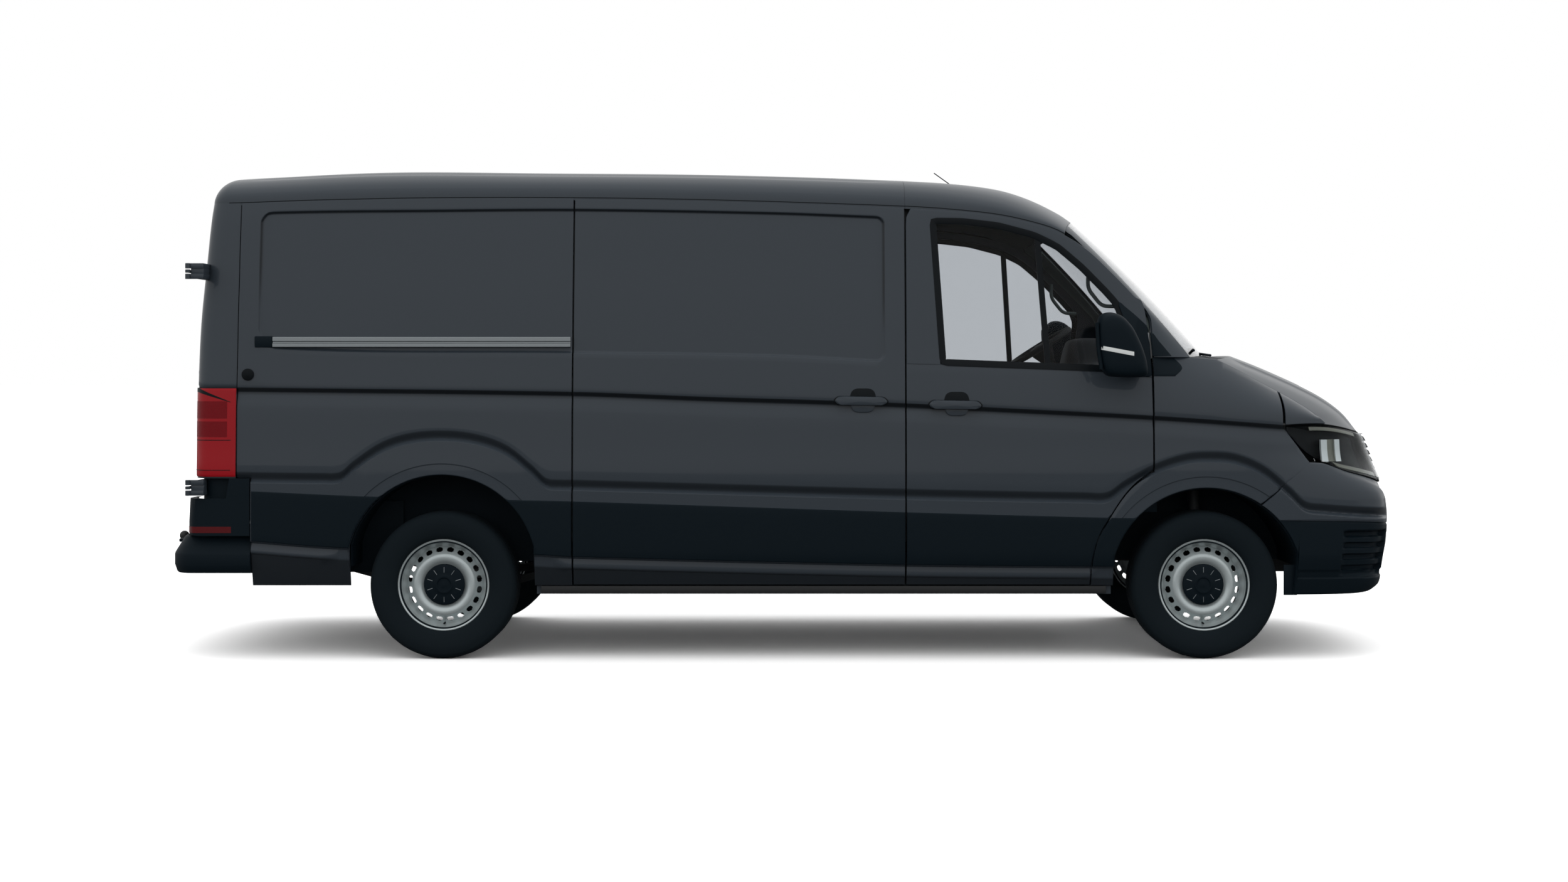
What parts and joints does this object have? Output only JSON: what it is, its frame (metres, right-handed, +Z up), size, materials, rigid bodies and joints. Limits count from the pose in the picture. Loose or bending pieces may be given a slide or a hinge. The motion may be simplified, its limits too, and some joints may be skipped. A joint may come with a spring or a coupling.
{
  "type": "panel van",
  "caption": "Low-roof panel van with a sliding side door, folding rear doors, hinged cab doors and bonnet, steered front wheels, a step bumper and a tow ball.",
  "frame": {"origin": "on the ground, in the middle of the overall length from tow ball to nose, on the centre line", "axes": "+X towards the front, +Y to the left side, +Z up; the van is symmetric about the XZ plane apart from the right-hand sliding door"},
  "size_m": [6.1432, 2.427, 2.4008],
  "materials": {
    "body_paint": "dark grey metallic two-coat car paint",
    "sill_paint": "grey sill paint",
    "black_plastic": "grained black moulded plastic",
    "chassis_coat": "black chassis coating",
    "cast_metal": "bare and coated cast metal",
    "inner_panel": "light grey primed inner panels",
    "window_glass": "clear laminated or toughened glass",
    "lamp_clear": "clear moulded lens",
    "lamp_red": "red moulded lens",
    "rail_metal": "satin anodised rail",
    "seat_cloth": "dark woven seat cloth",
    "exhaust_metal": "dull steel tube",
    "wheel_steel": "silver wheel lacquer",
    "tyre_rubber": "black tyre rubber"
  },
  "bodies": {
    "root": {"cargo_roof": "body_paint", "cab_roof": "body_paint", "side_panel_left": "body_paint", "rear_quarter_right": "body_paint", "sliding_door": "body_paint", "door_rail": "rail_metal", "rear_corners": "body_paint", "door_posts": "inner_panel", "windscreen_pillars": "body_paint", "front_wings": "body_paint", "cowl_panel": "black_plastic", "windscreen": "window_glass", "front_bumper_upper": "body_paint", "front_bumper_lower": "black_plastic", "grille": "black_plastic", "headlamps": "lamp_clear", "tail_lamps": "lamp_red", "rear_bumper": "black_plastic", "tow_bar": "chassis_coat", "underframe": "chassis_coat", "sills": "sill_paint", "floor_pan": "inner_panel", "bulkhead": "inner_panel", "wheel_housings_front": "black_plastic", "wheel_housings_rear": "black_plastic", "seats": "seat_cloth", "dashboard": "black_plastic", "steering_wheel": "black_plastic", "engine_block": "cast_metal", "front_subframe": "chassis_coat", "rear_axle": "cast_metal", "exhaust": "exhaust_metal", "fuel_tank": "black_plastic", "aerial": "black_plastic"},
    "bonnet": {"bonnet": "body_paint"},
    "cab_door_left": {"cab_door_left": "body_paint", "door_glass_left": "window_glass", "mirror_left": "black_plastic"},
    "rear_door_left": {"rear_door_left": "body_paint"},
    "steer_left": {"knuckle_left": "cast_metal"},
    "wheel_front_left": {"rim_front_left": "wheel_steel", "tyre_front_left": "tyre_rubber"},
    "wheel_rear_left": {"rim_rear_left": "wheel_steel", "tyre_rear_left": "tyre_rubber"},
    "cab_door_right": {"cab_door_right": "body_paint", "door_glass_right": "window_glass", "mirror_right": "black_plastic"},
    "rear_door_right": {"rear_door_right": "body_paint"},
    "steer_right": {"knuckle_right": "cast_metal"},
    "wheel_front_right": {"rim_front_right": "wheel_steel", "tyre_front_right": "tyre_rubber"},
    "wheel_rear_right": {"rim_rear_right": "wheel_steel", "tyre_rear_right": "tyre_rubber"}
  },
  "joints": [
    {"name": "bonnet_hinge", "type": "hinge", "parent": "root", "child": "bonnet", "pos_m": [2.136, 0, 1.426], "axis": [0, -1, 0], "range_deg": [0, 55]},
    {"name": "cab_door_left_hinge", "type": "hinge", "parent": "root", "child": "cab_door_left", "pos_m": [1.8215, 1.024, 1.2], "axis": [0, 0, -1], "range_deg": [0, 70]},
    {"name": "rear_door_left_hinge", "type": "hinge", "parent": "root", "child": "rear_door_left", "pos_m": [-2.7665, 1.05, 1.336], "axis": [0, 0, -1], "range_deg": [0, 270]},
    {"name": "steer_left_pivot", "type": "hinge", "parent": "root", "child": "steer_left", "pos_m": [2.0715, 0.775, 0.215], "axis": [0, -0.2265, 0.974], "range_deg": [-35, 35]},
    {"name": "wheel_front_left_spin", "type": "hinge", "parent": "steer_left", "child": "wheel_front_left", "pos_m": [2.0715, 0.858, 0.352], "axis": [0, 1, 0], "continuous": true},
    {"name": "wheel_rear_left_spin", "type": "hinge", "parent": "root", "child": "wheel_rear_left", "pos_m": [-1.5685, 0.858, 0.352], "axis": [0, 1, 0], "continuous": true},
    {"name": "cab_door_right_hinge", "type": "hinge", "parent": "root", "child": "cab_door_right", "pos_m": [1.8215, -1.024, 1.2], "axis": [0, 0, 1], "range_deg": [0, 70]},
    {"name": "rear_door_right_hinge", "type": "hinge", "parent": "root", "child": "rear_door_right", "pos_m": [-2.7665, -1.05, 1.336], "axis": [0, 0, 1], "range_deg": [0, 270]},
    {"name": "steer_right_pivot", "type": "hinge", "parent": "root", "child": "steer_right", "pos_m": [2.0715, -0.775, 0.215], "axis": [0, 0.2265, 0.974], "range_deg": [-35, 35]},
    {"name": "wheel_front_right_spin", "type": "hinge", "parent": "steer_right", "child": "wheel_front_right", "pos_m": [2.0715, -0.858, 0.352], "axis": [0, 1, 0], "continuous": true},
    {"name": "wheel_rear_right_spin", "type": "hinge", "parent": "root", "child": "wheel_rear_right", "pos_m": [-1.5685, -0.858, 0.352], "axis": [0, 1, 0], "continuous": true}
  ],
  "couplings": [
    {"joint": "steer_right_pivot", "follows": "steer_left_pivot", "ratio": 1}
  ]
}
